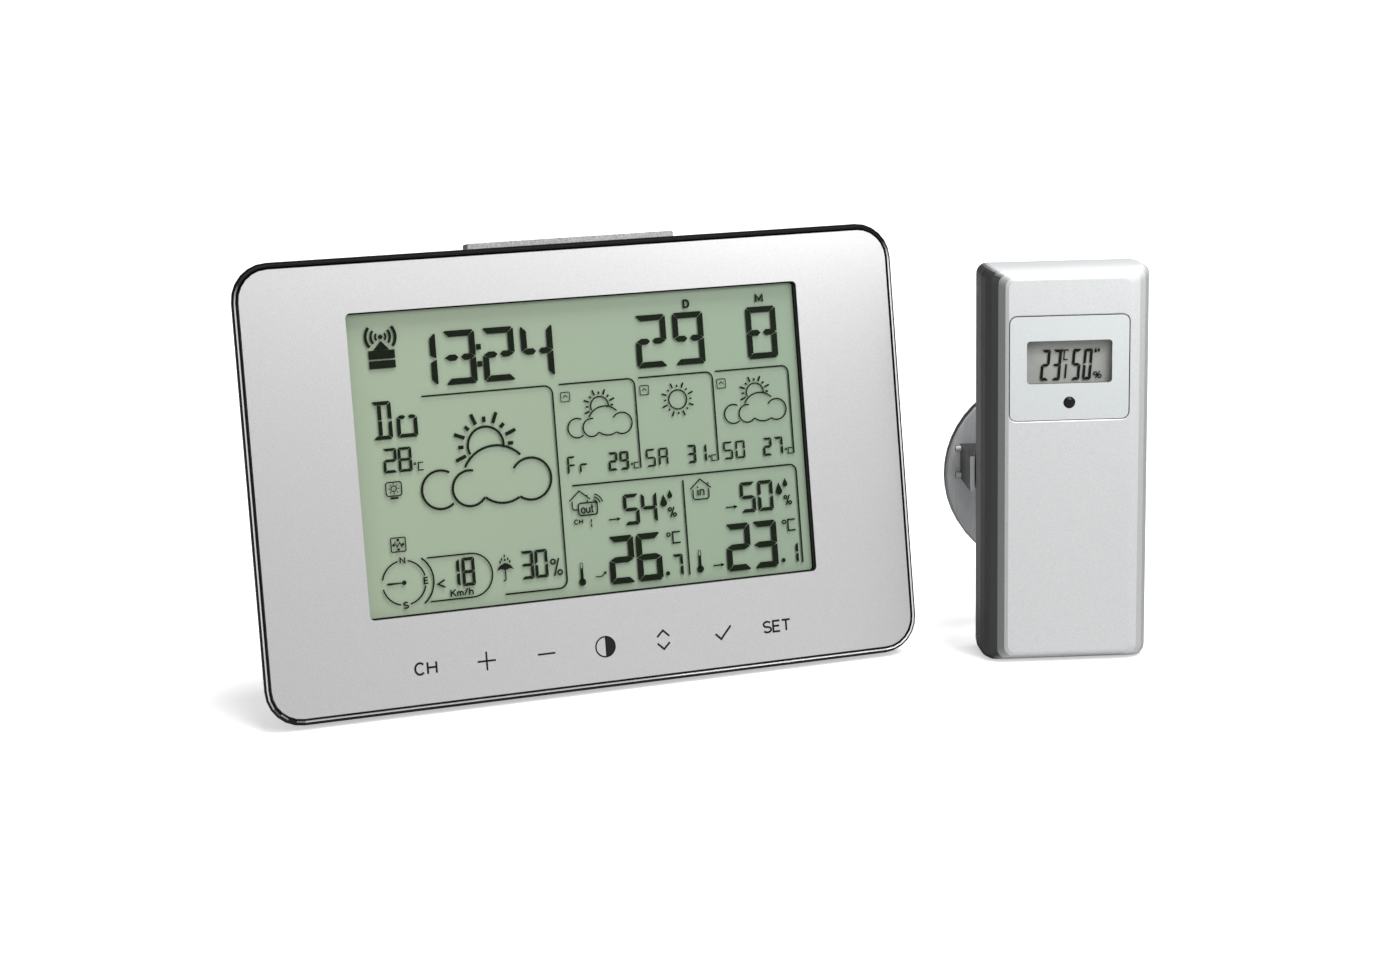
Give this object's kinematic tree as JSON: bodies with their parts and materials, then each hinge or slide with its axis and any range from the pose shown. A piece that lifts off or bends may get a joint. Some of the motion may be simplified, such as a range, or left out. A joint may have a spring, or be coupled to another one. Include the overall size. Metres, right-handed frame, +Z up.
{
  "type": "home weather station",
  "caption": "Desk weather display with touch keys, top light bar and fold-out stand, plus a wireless outdoor sensor with display and clip-on round wall bracket.",
  "frame": {"origin": "middle of the underside of the rubber foot strip under the display station, on the surface it stands on", "axes": "+Z up, -Y the way the display faces, +X to the right as seen from the front, towards the outdoor sensor"},
  "size_m": [0.3004, 0.0857, 0.1397],
  "materials": {
    "gloss_black": "polished",
    "silver_panel": "fine silver paint, satin",
    "black_plastic": "satin",
    "housing_black": "fine moulded grain",
    "display": "green-grey display glass under a satin polariser",
    "sensor_display": "grey display glass under a satin polariser",
    "white_plastic": "satin",
    "clear_acrylic": "frosted back, polished front",
    "rubber": "matt",
    "circuit_board": "solder resist",
    "ferrite": "sintered, dull",
    "copper_wire": "enamelled wire",
    "light_bar": "frosted silver-white light guide",
    "nickel_steel": "nickel plated",
    "cell_sleeve": "printed sleeve, plain colours",
    "sensor_silver": "silver paint with fine flake",
    "pale_plastic": "satin",
    "led_lens": "dark tinted",
    "bracket_grey": "silver-grey moulded"
  },
  "bodies": {
    "station": {"front_frame": "gloss_black", "front_panel": "silver_panel", "display_bezel": "black_plastic", "touch_board": "circuit_board", "lcd_glass": "display", "lcd_holder": "white_plastic", "backlight_guide": "clear_acrylic", "zebra_connector": "rubber", "main_board": "circuit_board", "snooze_switch": "black_plastic", "ferrite_rod": "ferrite", "antenna_coil": "copper_wire", "receiver_board": "circuit_board", "buzzer": "black_plastic", "indoor_probe": "white_plastic", "rear_housing": "housing_black", "housing_screw_left_low": "nickel_steel", "housing_screw_left_high": "nickel_steel", "housing_screw_right_low": "nickel_steel", "housing_screw_right_high": "nickel_steel", "battery_1": "cell_sleeve", "battery_2": "cell_sleeve", "battery_3": "cell_sleeve", "battery_spring_1": "nickel_steel", "battery_spring_2": "nickel_steel", "battery_spring_3": "nickel_steel", "battery_plate_1": "nickel_steel", "battery_plate_2": "nickel_steel", "battery_plate_3": "nickel_steel", "front_foot": "rubber", "stand_hinge_pin": "nickel_steel"},
    "snooze_key": {"snooze_bar": "light_bar"},
    "stand_leg": {"stand": "housing_black", "stand_pad": "rubber"},
    "battery_lid": {"battery_door": "housing_black"},
    "reset_button": {"reset_key": "black_plastic"},
    "sensor_unit": {"sensor_front_shell": "sensor_silver", "sensor_face_plate": "pale_plastic", "sensor_led_lens": "led_lens", "sensor_lcd": "sensor_display", "sensor_lcd_holder": "white_plastic", "sensor_zebra": "rubber", "sensor_board": "circuit_board", "sensor_battery_tray": "black_plastic", "sensor_battery_1": "cell_sleeve", "sensor_battery_2": "cell_sleeve", "sensor_battery_spring_1": "nickel_steel", "sensor_battery_spring_2": "nickel_steel", "sensor_battery_plate_1": "nickel_steel", "sensor_battery_plate_2": "nickel_steel", "sensor_antenna": "copper_wire", "sensor_probe": "white_plastic", "channel_switch": "nickel_steel"},
    "sensor_cover": {"sensor_back_cover": "sensor_silver"},
    "wall_bracket": {"bracket_disc": "bracket_grey", "bracket_yoke": "bracket_grey", "bracket_screw": "nickel_steel"},
    "send_button": {"send_key": "black_plastic"},
    "channel_slider": {"channel_knob": "black_plastic"}
  },
  "joints": [
    {"name": "snooze_press", "type": "slide", "parent": "station", "child": "snooze_key", "axis": [0, -0.1564, -0.9877], "range_m": [0, 0.0012], "stiffness_N_per_m": 800, "springref_m": -0.001},
    {"name": "stand_fold", "type": "hinge", "parent": "station", "child": "stand_leg", "pos_m": [0, 0.02228, 0.05632], "axis": [1, 0, 0], "range_deg": [-23.7, 0]},
    {"name": "battery_door_open", "type": "hinge", "parent": "station", "child": "battery_lid", "pos_m": [0, 0.02666, 0.06605], "axis": [1, 0, 0], "range_deg": [-70, 0]},
    {"name": "reset_press", "type": "slide", "parent": "station", "child": "reset_button", "axis": [0, -0.9877, 0.1564], "range_m": [0, 0.0006], "stiffness_N_per_m": 400, "springref_m": -0.0008},
    {"name": "sensor_lift", "type": "slide", "parent": "station", "child": "sensor_unit", "axis": [0, 0, 1], "range_m": [0, 0.15]},
    {"name": "sensor_cover_pull", "type": "slide", "parent": "sensor_unit", "child": "sensor_cover", "axis": [0.309, 0.9511, 0], "range_m": [0, 0.03]},
    {"name": "bracket_unclip", "type": "slide", "parent": "sensor_cover", "child": "wall_bracket", "axis": [0.309, 0.9511, 0], "range_m": [0, 0.012]},
    {"name": "send_press", "type": "slide", "parent": "sensor_unit", "child": "send_button", "axis": [-0.309, -0.9511, 0], "range_m": [0, 0.0004], "stiffness_N_per_m": 400, "springref_m": -0.0008},
    {"name": "channel_select", "type": "slide", "parent": "sensor_unit", "child": "channel_slider", "axis": [0.9511, -0.309, 0], "range_m": [0, 0.0042]}
  ]
}
